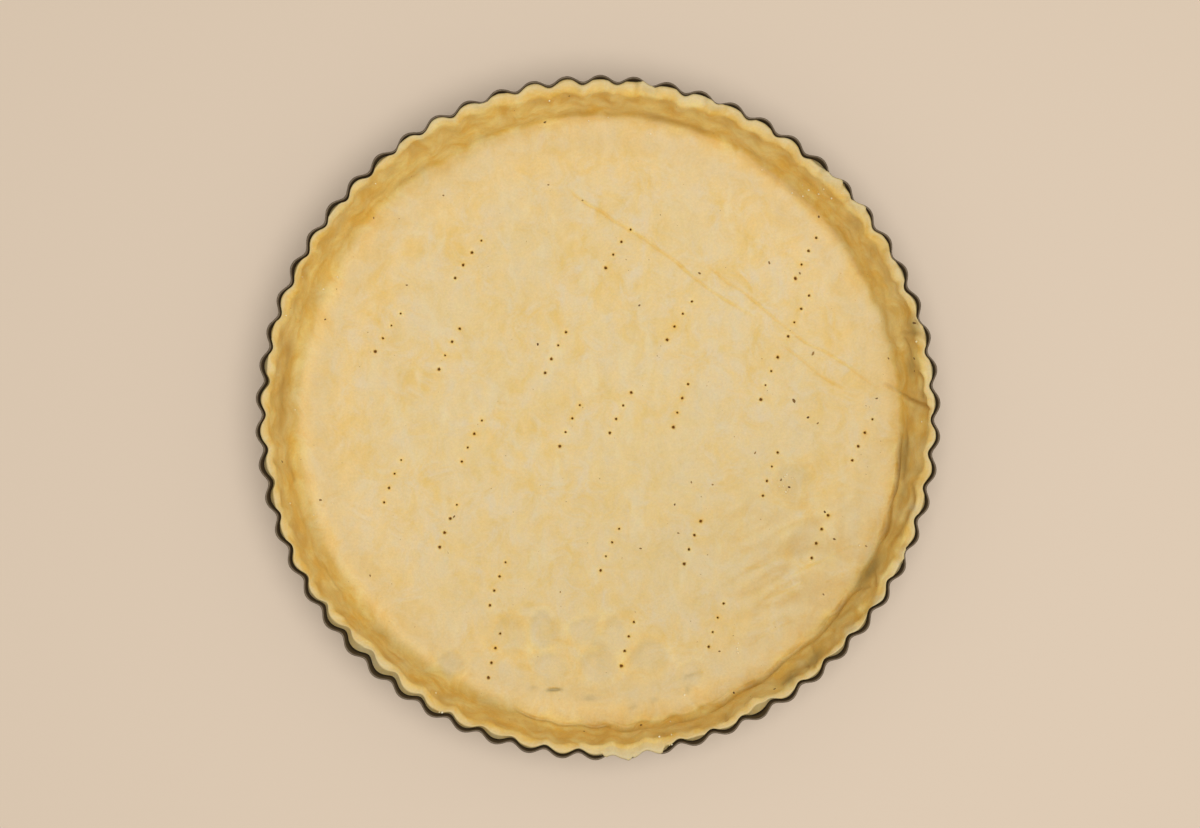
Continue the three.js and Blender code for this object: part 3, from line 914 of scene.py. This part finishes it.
# Over the patches of butter lie the streaks of the rolling pin, a bloom of flour and its smears.
for share, colour in [(streak_share, "#eaca82"), (bloom_share, "#e5d09e"),
                      (smear_share, "#e9d6a6")]:
    tone = add_node(shortcrust, "ShaderNodeMix", {0: share.outputs[0], 6: tone.outputs[2]},
                    {7: linear(colour)}, data_type="RGBA")
# The golden tone: worked, buttery dough, with painted bounce light up the wall and painted shade in
# the creases and wrinkles.
worked_and_painted_light_tone = add_node(shortcrust, "ShaderNodeMix", {0: patch_share.outputs[0]},
                       {6: linear("#fee28d"), 7: linear("#f3c254")}, data_type="RGBA")
worked_and_painted_light = add_node(shortcrust, "ShaderNodeAttribute", attribute_name="worked_and_painted_light")
tone = add_node(shortcrust, "ShaderNodeMix",
                {0: worked_and_painted_light.outputs["Fac"], 6: tone.outputs[2], 7: worked_and_painted_light_tone.outputs[2]},
                data_type="RGBA")
# Painted shade is brown in the folds and dark in the fork's holes. Grey is where it is thin and
# also painted shade; pale is where it was cut and also a painted highlight.
for name, colour in [("painted_fold_shade", "#bf9038"), ("thin_and_painted_shade", "#a08c54"), ("pale_and_highlight", "#d9c696"),
                     ("painted_hole_shade", "#96600a")]:
    share = add_node(shortcrust, "ShaderNodeAttribute", attribute_name=name)
    tone = add_node(shortcrust, "ShaderNodeMix", {0: share.outputs["Fac"], 6: tone.outputs[2]},
                    {7: linear(colour)}, data_type="RGBA")
grain_tone = add_node(shortcrust, "ShaderNodeMapRange", {"Value": grain.outputs["Fac"]},
                      {"From Min": 0.3, "From Max": 0.7, "To Min": 0.94, "To Max": 1.035})
streak_tone = add_node(shortcrust, "ShaderNodeMapRange", {"Value": streak.outputs["Fac"]},
                       {"From Min": 0.3, "From Max": 0.7, "To Min": 0.965, "To Max": 1.025})
fine_tone = add_node(shortcrust, "ShaderNodeMath",
                     {0: grain_tone.outputs[0], 1: streak_tone.outputs[0]}, operation="MULTIPLY")
toned = add_node(shortcrust, "ShaderNodeVectorMath",
                 {0: tone.outputs[2], "Scale": fine_tone.outputs[0]}, operation="SCALE")
dullness = add_node(shortcrust, "ShaderNodeMapRange", {"Value": patch.outputs["Fac"]},
                    {"From Min": 0.3, "From Max": 0.7, "To Min": 0.62, "To Max": 0.48})
crumb = add_node(shortcrust, "ShaderNodeBump", {"Height": grain.outputs["Fac"]},
                 {"Strength": 0.5, "Distance": 0.00012})
fill_sockets(shortcrust, dough_shader,
             {"Base Color": toned.outputs[0], "Roughness": dullness.outputs[0],
              "Normal": crumb.outputs[0]},
             {"Subsurface Weight": 0.15, "Subsurface Radius": (1.0, 0.6, 0.25),
              "Subsurface Scale": 0.0012})

dough = piece_from("shortcrust_case", dough_points, dough_faces, shortcrust)

# Grey spots: where the dark tin shows through thin dough, and painted shade in dents and creases.
# Each: place seen from above, length and width in mm, lean in degrees and strength.
THIN_AND_SHADED_SPOTS = [
    (82, -27, 16, 9, 40, 0.1),
    (89, -54, 20, 10, 20, 0.07),
    (30, -56, 24, 9, 10, 0.06),
    (-23, -91, 9, 7, 0, 0.07),
    (1, -104, 9, 8, 0, 0.07),
    (18, -103, 8, 7, 0, 0.05),
    (-62, -104, 6, 3.5, -35, 0.35),
    (-18.5, -115.3, 3.6, 0.9, 4, 1.6),
    (-27, -114.5, 2.5, 1.2, 0, 0.5),
    (-3.4, -118.9, 4, 1.6, 0, 0.5),
    (38.5, -109.5, 4, 1.2, 20, 0.6),
    (38, -115, 3, 1.2, 70, 0.4),
    (14.5, -122.5, 2.5, 1.2, 0, 0.45),
    (23.5, -120, 2.5, 1.5, 20, 0.45),
    (115.5, -64.5, 11, 3.5, 56, 0.75),
    (130, -17, 10, 3.5, 85, 0.55),
    (129, -33, 7, 2, 75, 0.45),
    (92, -102, 8, 3, 55, 0.6),
    (82, -110, 7, 3, 45, 0.6),
    (134, 38, 7, 3.5, 110, 0.5),
    (133, 22, 9, 2.5, 95, 0.4),
    (104, -84, 10, 2.5, 45, 0.3),
    (-126, 70, 4, 2, 45, 0.3),
]
# Pale spots on the wall; the first is a painted highlight where a flap of dough stands up. Each:
# place seen from above and radius in mm, strength.
PALE_AND_HIGHLIGHT_SPOTS = [
    (133.6, -38.3, 1.6, 0.9),
    (118.5, -77, 2.5, 0.6),
    (107, -89.5, 3, 0.6),
    (86, -104, 2, 0.4),
]
# In what follows, up is 0 on the floor, 1 where the cut edge begins and 2 where it ends. A pair of
# numbers in smooth_step says where a tone begins and where it is full.
BLOTCH_MM = 9
BLOTCH_WAVER_MM = 1.5
x, y, z = dough_points.T
up = np.concatenate([shell_up, np.zeros(len(loose_floor))])
on_floor = up < 0.1
below_edge = 1 - smooth_step(up, 1.15, 1.45)
seen_x, seen_y = seen_from_above(x, y, z)
bearing_there = np.arctan2(y, x)
blotch = lumpiness(x, y, z, BLOTCH_MM, 51)
seen_radius = np.hypot(seen_x, seen_y) + BLOTCH_WAVER_MM * blotch
crisp_there = np.interp(bearing_there % (2 * np.pi), turn, crisp)
past_foot = seen_radius - np.interp(bearing_there % (2 * np.pi), turn, foot_radius)

# It is golden where the dough was worked: up the wall, round the pricks, in the creases and
# wrinkles.
# Up the wall the golden tone is also painted bounce light from the floor, and in the creases and
# wrinkles it is painted shade.
GOLDEN_WALL_FROM_MM = 10.3  # this far inside the foot of the wall, and nearer where it is crisp
GOLDEN_WALL_CRISP_MM = 5
WORKED_OUTER_FLOOR = 0.1
WALL_WORKED_AND_BOUNCE_LIGHT = 0.77
WORKED_NEAR_SIDE = 0.22
CREASE_GOLDEN_SHADE = 0.9
TROUGH_GOLDEN_SHADE = 0.35
WORKED_PRICK = 0.65
PRICK_HALO_MM = 1.4
EDGE_UNWORKED = 0.62
golden_wall_from = GOLDEN_WALL_CRISP_MM * crisp_there - GOLDEN_WALL_FROM_MM
worked_and_painted_light_share = WALL_WORKED_AND_BOUNCE_LIGHT * smooth_step(past_foot, golden_wall_from, 0.2)
worked_and_painted_light_share += WORKED_OUTER_FLOOR * smooth_step(seen_radius, 95, 122)
worked_and_painted_light_share *= 1 + 0.3 * blotch
near_side = bell(turn_between(bearing_there, 275), 25) * (1 - smooth_step(up, 0.2, 0.5))
worked_and_painted_light_share += WORKED_NEAR_SIDE * near_side * smooth_step(seen_radius, 116, 124)
worked_and_painted_light_share *= 1 - EDGE_UNWORKED * smooth_step(up, 0.9, 1.65)
floor_crease = creasing(x, y, CREASES)[1] * on_floor
trough = np.clip(-1.9 * wrinkles(x, y), 0, 1) * on_floor
to_prick = np.array([prick_tree.find((px, py, 0))[2] for px, py in zip(x, y)])
# The golden tone in the creases and in the troughs of the wrinkles is painted shade.
worked_and_painted_light_share += CREASE_GOLDEN_SHADE * floor_crease + TROUGH_GOLDEN_SHADE * trough
worked_and_painted_light_share += WORKED_PRICK * bell(to_prick, PRICK_HALO_MM) * on_floor

# It is grey where it is thin: to the near right, where it was thumbed most, along the corner, and
# at the knife's cut. Grey is also painted shade: at the left of the corner, up the right wall,
# along the foot of the wall and on one side of each dimple.
THUMBED_BEARING_DEG = -62
THIN_THUMBED = 0.15
THIN_CORNER = 0.07
LEFT_CORNER_GREY_SHADE = 0.05
RIGHT_WALL_GREY_SHADE = 0.1
FOOT_GREY_SHADE = 0.23
FAR_FOOT_GREY_SHADE = 0.14
THIN_CUT = 0.24
thumbed = math.radians(THUMBED_BEARING_DEG)
toward_thumbed = x * math.cos(thumbed) + y * math.sin(thumbed)
grey_thin_and_shade_share = THIN_THUMBED * smooth_step(toward_thumbed, -40, 115) * on_floor
pressed = smooth_step(seen_radius, 108, 118) * (1 - smooth_step(seen_radius, 119, 125))
grey_thin_and_shade_share += THIN_CORNER * pressed
to_left = smooth_step(-np.cos(bearing_there + math.radians(15)), 0.3, 0.8)
grey_thin_and_shade_share += LEFT_CORNER_GREY_SHADE * to_left * smooth_step(seen_radius, 119, 124) * below_edge
right_side = 1 - smooth_step(np.abs(turn_between(bearing_there, 338)), 30, 65)
grey_thin_and_shade_share += RIGHT_WALL_GREY_SHADE * right_side * smooth_step(up, 0.05, 0.3) * below_edge
foot_shade = bell(past_foot + 2.2, 3.2) * (1 - 0.85 * smooth_step(crisp_there, 0.8, 1))
far_side = bell(turn_between(bearing_there, 115), 20)
grey_thin_and_shade_share += (FOOT_GREY_SHADE + FAR_FOOT_GREY_SHADE * far_side) * foot_shade
grey_thin_and_shade_share += THIN_CUT * smooth_step(up, 1.4, 1.95)

# Painted shade in brown: in folds, thumb dents and lobes on the wall under the cut edge, least on
# the near side, where the folds are open.
CREASE_BROWN_SHADE = 0.35
TROUGH_BROWN_SHADE = 0.5
LOBE_BROWN_SHADE = 0.22
FOLD_BROWN_SHADE = 0.88
OPEN_FOLD = 0.34
DENT_BROWN_SHADE = 0.4
BROWN_SHADE_IN_ALL = 0.75
fold_shade_share = CREASE_BROWN_SHADE * floor_crease + TROUGH_BROWN_SHADE * trough
shaded_lobes = np.clip(1.6 * lumpiness(x, y, z, 6, 55), 0, 1) * smooth_step(up, 0.1, 0.4)
fold_shade_share += LOBE_BROWN_SHADE * shaded_lobes * (1 - smooth_step(up, 0.9, 1.3))
fold_shade_tone = FOLD_BROWN_SHADE - OPEN_FOLD * bell(turn_between(turn, 282), 30)
wall_fold_shade = fold_shade_tone * fold_strength + DENT_BROWN_SHADE * np.clip(dents, 0, 1) * on_wall
fold_shade_share[:wall_fold_shade.size] += wall_fold_shade.ravel()

# A dimple is pale inside and golden on its bank, with painted shade in grey on its far left side.
DIMPLE_PALE_PER_MM = 1.8
DIMPLE_GOLDEN = 0.28
DIMPLE_SHADE_PER_MM = 0.3
DIMPLE_UNWORKED = 0.6
SPOT_FALL = 1.4  # how fast a thin spot fades towards its ends and sides
dimple_share = np.zeros_like(x)
dimple_waver = 2.4 * flat_lumps(x, y, 6, 53) + 0.8 * flat_lumps(x, y, 2.5, 54)
for middle_x, middle_y, reach, depth in DIMPLES:
    away = np.hypot(x - middle_x, y - middle_y) + dimple_waver
    inside = 1 - smooth_step(away, 0.4 * reach, reach)
    dimple_share = np.maximum(dimple_share, DIMPLE_PALE_PER_MM * depth * inside)
    worked_and_painted_light_share += DIMPLE_GOLDEN * bell(away - 1.1 * reach, 0.3 * reach) * on_floor
    facing = ((y - middle_y) - 0.6 * (x - middle_x)) / (1.17 * np.maximum(away, 1))
    shaded = np.clip(facing, 0, 1) * bell(away - 0.8 * reach, 0.22 * reach)
    grey_thin_and_shade_share += DIMPLE_SHADE_PER_MM * depth * shaded * on_floor
worked_and_painted_light_share *= 1 - DIMPLE_UNWORKED * dimple_share
mottle = 1 + 0.6 * flat_lumps(x, y, 4, 52)
for spot_x, spot_y, length, width, lean_deg, most in THIN_AND_SHADED_SPOTS:
    lean = math.radians(lean_deg)
    along = (seen_x - spot_x) * math.cos(lean) + (seen_y - spot_y) * math.sin(lean)
    aside = -(seen_x - spot_x) * math.sin(lean) + (seen_y - spot_y) * math.cos(lean)
    grey_thin_and_shade_share += most * mottle * bell(SPOT_FALL * np.hypot(along / length, aside / width), 1)

# It is pale where the knife cut it, where it laps over the rim and where flour lies on it. A
# painted highlight lies on a flap of the wall.
PALE_CUT = 0.4
PALE_LAP = 0.5
PALE_DIMPLE = 0.2
PALE_CORNER = 0.25
pale_and_highlight_share = PALE_CUT * smooth_step(up, 1.3, 1.9) * (0.7 + 0.4 * blotch)
lapped = np.tile(crossed, shell_up.size // round_points) * (shell_up > 1.3)
pale_and_highlight_share[:shell_up.size] += PALE_LAP * lapped
pale_and_highlight_share += (PALE_DIMPLE * dimple_share + PALE_CORNER * pressed) * on_floor
for spot_x, spot_y, spread, most in PALE_AND_HIGHLIGHT_SPOTS:
    pale_and_highlight_share += most * bell(np.hypot(seen_x - spot_x, seen_y - spot_y), spread)
# The fork's holes are darkened with painted shade, most at their bottoms.
hole_shade_share = np.zeros_like(x)
hole_shade_share[len(shell_points):] = floor_hole_shade[round_points:]


def set_on_points(piece, name, values):
    """Stores a value at each point of a mesh, for its material to read."""
    attribute = piece.data.attributes.new(name, "FLOAT", "POINT")
    attribute.data.foreach_set("value", np.array(values, np.float32))


for name, share in [("worked_and_painted_light", worked_and_painted_light_share), ("painted_fold_shade", BROWN_SHADE_IN_ALL * fold_shade_share),
                    ("thin_and_painted_shade", grey_thin_and_shade_share), ("pale_and_highlight", pale_and_highlight_share), ("painted_hole_shade", hole_shade_share)]:
    set_on_points(dough, name, np.clip(share, 0, 1))
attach(dough, "root")
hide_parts("pastry_case")

# Bran and flour on the dough
# Brown flakes of bran, milled with the flour, lie flat in the surface of the dough. A few loose
# crumbs of flour and dough lie on it, most where the wall was trimmed and pressed.
# Each flake of bran that stands out: its place seen from above, length in mm and darkness.
BRAN_FLAKES = [
    (83, 7, 2.0, 0.75),
    (89, 0, 1.5, 1.0),
    (93, -2.5, 1.1, 0.6),
    (81, -29.5, 1.4, 1.0),
    (77.5, -26.5, 1.1, 0.8),
    (96, -40, 1.4, 1.0),
    (100, -51.5, 1.4, 0.9),
    (113.5, -54.5, 1.1, 0.5),
    (95.5, -75, 1.1, 0.7),
    (66.5, -15, 1.2, 0.5),
    (39.5, -27.5, 1.1, 0.5),
    (48.5, -28.5, 1.1, 0.5),
    (32.5, -37, 1.2, 0.8),
    (34, -49, 1.1, 0.6),
    (18, -55.5, 1.1, 0.7),
    (17.5, 47.5, 1.2, 0.9),
    (43, 61, 1.4, 0.7),
    (72.5, 65.5, 1.4, 0.6),
    (85.5, 61, 1.2, 0.6),
    (93.5, 85, 1.4, 0.8),
    (91, 27, 1.8, 0.4),
    (118, 8, 1.2, 0.8),
    (123, 25, 1.2, 0.6),
    (-6.5, 92, 1.2, 0.7),
    (-21, 98.5, 1.1, 0.6),
    (-25.5, 31, 1.4, 1.0),
    (-81, 56, 1.1, 0.6),
    (-65.5, 94, 1.1, 0.7),
    (-95, 84.5, 1.1, 0.6),
    (-115.5, 41.5, 1.2, 0.8),
    (-117.5, -35, 1.4, 0.7),
    (-96.5, -67, 1.1, 0.6),
    (-61, -42, 1.2, 0.8),
    (51.5, -99, 1.1, 0.7),
    (-22.5, 125, 1.4, 0.9),
    (-12.5, 136, 1.1, 0.8),
    (134, 40, 1.6, 0.9),
    (134, 25, 1.5, 0.8),
    (134, 20, 1.2, 0.6),
    (74.5, -115, 1.5, 0.9),
    (57.5, -116.5, 1.5, 0.9),
    (18.5, -130, 1.4, 0.9),
    (-5.5, -133, 1.2, 0.7),
    (-133.5, -19, 1.5, 0.7),
    (-16, -74, 0.9, 0.5),
]
SMALL_FLAKES = 150
SMALL_FLAKE_MM = 0.38
FLAKE_REACH_MM = 138
BRAN_THICK_MM = 0.1
# Where crumbs lie in a group: the place seen from above, the group's reach in mm and their number.
CRUMB_GROUPS = [
    (79.5, -28, 4.5, 9),
    (91, 94, 7, 6),
    (101, 93, 3, 2),
    (57, -97, 4, 3),
    (29.5, -138, 5, 4),
    (-68, -128, 4, 3),
]
LOOSE_CRUMBS = 26
LOOSE_FROM_MM = 118
LOOSE_BAND_MM = 21
CRUMB_MM = 0.85
CRUMB_THICK_MM = 0.5
FLECK_SIDES = 7
SUNK_MM = 0.06
SHOULDER = 0.6  # the share of a fleck's height where its side turns in
FLAT_ENOUGH = 0.8  # how far up the dough must face for a fleck to lie exactly on its spot

numbers = np.arange(len(dough_points))
upper = np.flatnonzero((numbers < section_up.size * round_points) | (numbers >= len(shell_points)))
upper_tree = flat_tree(np.column_stack([seen_x, seen_y])[upper])


def joined_flecks(name, flecks, material):
    """Closed little lumps on the dough, each with its place, length, width, height and tone."""
    points = []
    faces = []
    tones = []
    for number, (spot_x, spot_y, length, width, height, tone) in enumerate(flecks):
        near = int(upper[upper_tree.find((spot_x, spot_y, 0))[1]])
        out = dough.data.vertices[near].normal.copy()
        middle = Vector(dough_points[near])
        if out.z > FLAT_ENOUGH:
            step = Vector((spot_x - seen_x[near], spot_y - seen_y[near], 0))
            step.z = -(out.x * step.x + out.y * step.y) / out.z
            middle = middle + step
        along = out.cross(Vector((0, 0, 1)).lerp(Vector((1, 0, 0)), 0.9)).normalized()
        along.rotate(Quaternion(out, 2 * math.pi * float(chance(900 + number))))
        aside = out.cross(along)
        first = len(points)
        for level, reach in ((-SUNK_MM, 1.0), (SHOULDER * height, 0.95), (height, 0.55)):
            for side in range(FLECK_SIDES):
                angle = 2 * math.pi * side / FLECK_SIDES
                uneven = 0.75 + 0.5 * float(chance(1000 + 11 * number + side))
                spot = middle + out * level
                spot += along * (length / 2 * reach * uneven * math.cos(angle))
                spot += aside * (width / 2 * reach * uneven * math.sin(angle))
                points.append(tuple(spot))
        for ring in range(2):
            for side in range(FLECK_SIDES):
                here = first + ring * FLECK_SIDES + side
                beside = first + ring * FLECK_SIDES + (side + 1) % FLECK_SIDES
                faces.append((here, beside, beside + FLECK_SIDES, here + FLECK_SIDES))
        faces.append(tuple(first + 2 * FLECK_SIDES + side for side in range(FLECK_SIDES)))
        faces.append(tuple(first + side for side in reversed(range(FLECK_SIDES))))
        tones += [tone] * (3 * FLECK_SIDES)
    piece = piece_from(name, points, faces, material)
    set_on_points(piece, "dark", tones)
    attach(piece, "root")


def fleck_material(name, pale, dark, roughness):
    """A dry matt material between two colours, as the darkness of each fleck says."""
    material, shader = new_material(name)
    darkness = add_node(material, "ShaderNodeAttribute", attribute_name="dark")
    tone = add_node(material, "ShaderNodeMix", {0: darkness.outputs["Fac"]},
                    {6: linear(pale), 7: linear(dark)}, data_type="RGBA")
    fill_sockets(material, shader, {"Base Color": tone.outputs[2]}, {"Roughness": roughness})
    return material


# Wheat bran is a dry matt husk, pale brown where it is one layer thick and dark where it is folded.
bran = fleck_material("wheat_bran", "#bd9450", "#5c3a0a", 0.8)
flakes = [(x, y, size, 0.6 * size, BRAN_THICK_MM, tone) for x, y, size, tone in BRAN_FLAKES]
for number in range(SMALL_FLAKES):
    away = FLAKE_REACH_MM * math.sqrt(chance(1500 + number))
    bearing = 2 * math.pi * float(chance(1700 + number))
    size = SMALL_FLAKE_MM * (0.7 + 0.9 * float(chance(1900 + number)) ** 2)
    flakes.append((away * math.cos(bearing), away * math.sin(bearing), size, 0.7 * size,
                   BRAN_THICK_MM, 0.7 * float(chance(2100 + number))))
joined_flecks("bran_flecks", flakes, bran)

# Flour and dry crumbs of dough are matt and scatter light, so they stand out pale.
flour = fleck_material("dry_flour", "#fbf0cc", "#e8cf92", 0.95)
crumbs = []
for group, (middle_x, middle_y, reach, count) in enumerate(CRUMB_GROUPS):
    for number in range(count):
        draw = 2300 + 20 * group + number
        away = reach * math.sqrt(chance(draw))
        bearing = 2 * math.pi * float(chance(draw + 300))
        crumbs.append((middle_x + away * math.cos(bearing), middle_y + away * math.sin(bearing)))
for number in range(LOOSE_CRUMBS):
    bearing = 2 * math.pi * float(chance(2900 + number))
    away = LOOSE_FROM_MM + LOOSE_BAND_MM * float(chance(3000 + number))
    crumbs.append((away * math.cos(bearing), away * math.sin(bearing)))
lumps_of_flour = []
for number, (x, y) in enumerate(crumbs):
    size = CRUMB_MM * (0.55 + 0.8 * float(chance(3100 + number)))
    lumps_of_flour.append((x, y, size, 0.8 * size, CRUMB_THICK_MM / CRUMB_MM * size,
                           float(chance(3300 + number))))
joined_flecks("flour_crumbs", lumps_of_flour, flour)

# The studio
# A pale matt table under one wide soft light overhead, with a dim fill from all round.
TABLE_MM = 4000
table_paint, paint_shader = new_material("pale_matt_paint")
fill_sockets(table_paint, paint_shader,
             values={"Base Color": linear("#e6d3bd"), "Roughness": 0.9})
half = TABLE_MM / 2
corners = [(-half, -half, 0), (half, -half, 0), (half, half, 0), (-half, half, 0)]
table = piece_from("table", corners, [(0, 1, 2, 3)], table_paint)
softbox_data = bpy.data.lights.new("softbox", "AREA")
softbox_data.shape = "DISK"
softbox_data.size = 1.5
softbox_data.energy = 17.5
softbox = bpy.data.objects.new("softbox", softbox_data)
softbox.location = (0.15, -0.09, 1.5)
softbox.rotation_euler = (math.radians(3.4), math.radians(5.7), 0)
bpy.context.scene.collection.objects.link(softbox)
surround = bpy.data.worlds.new("surround")
surround.use_nodes = True
fill_sockets(surround, surround.node_tree.nodes["Background"],
             values={"Color": linear("#fff8ee"), "Strength": 0.305})
bpy.context.scene.world = surround
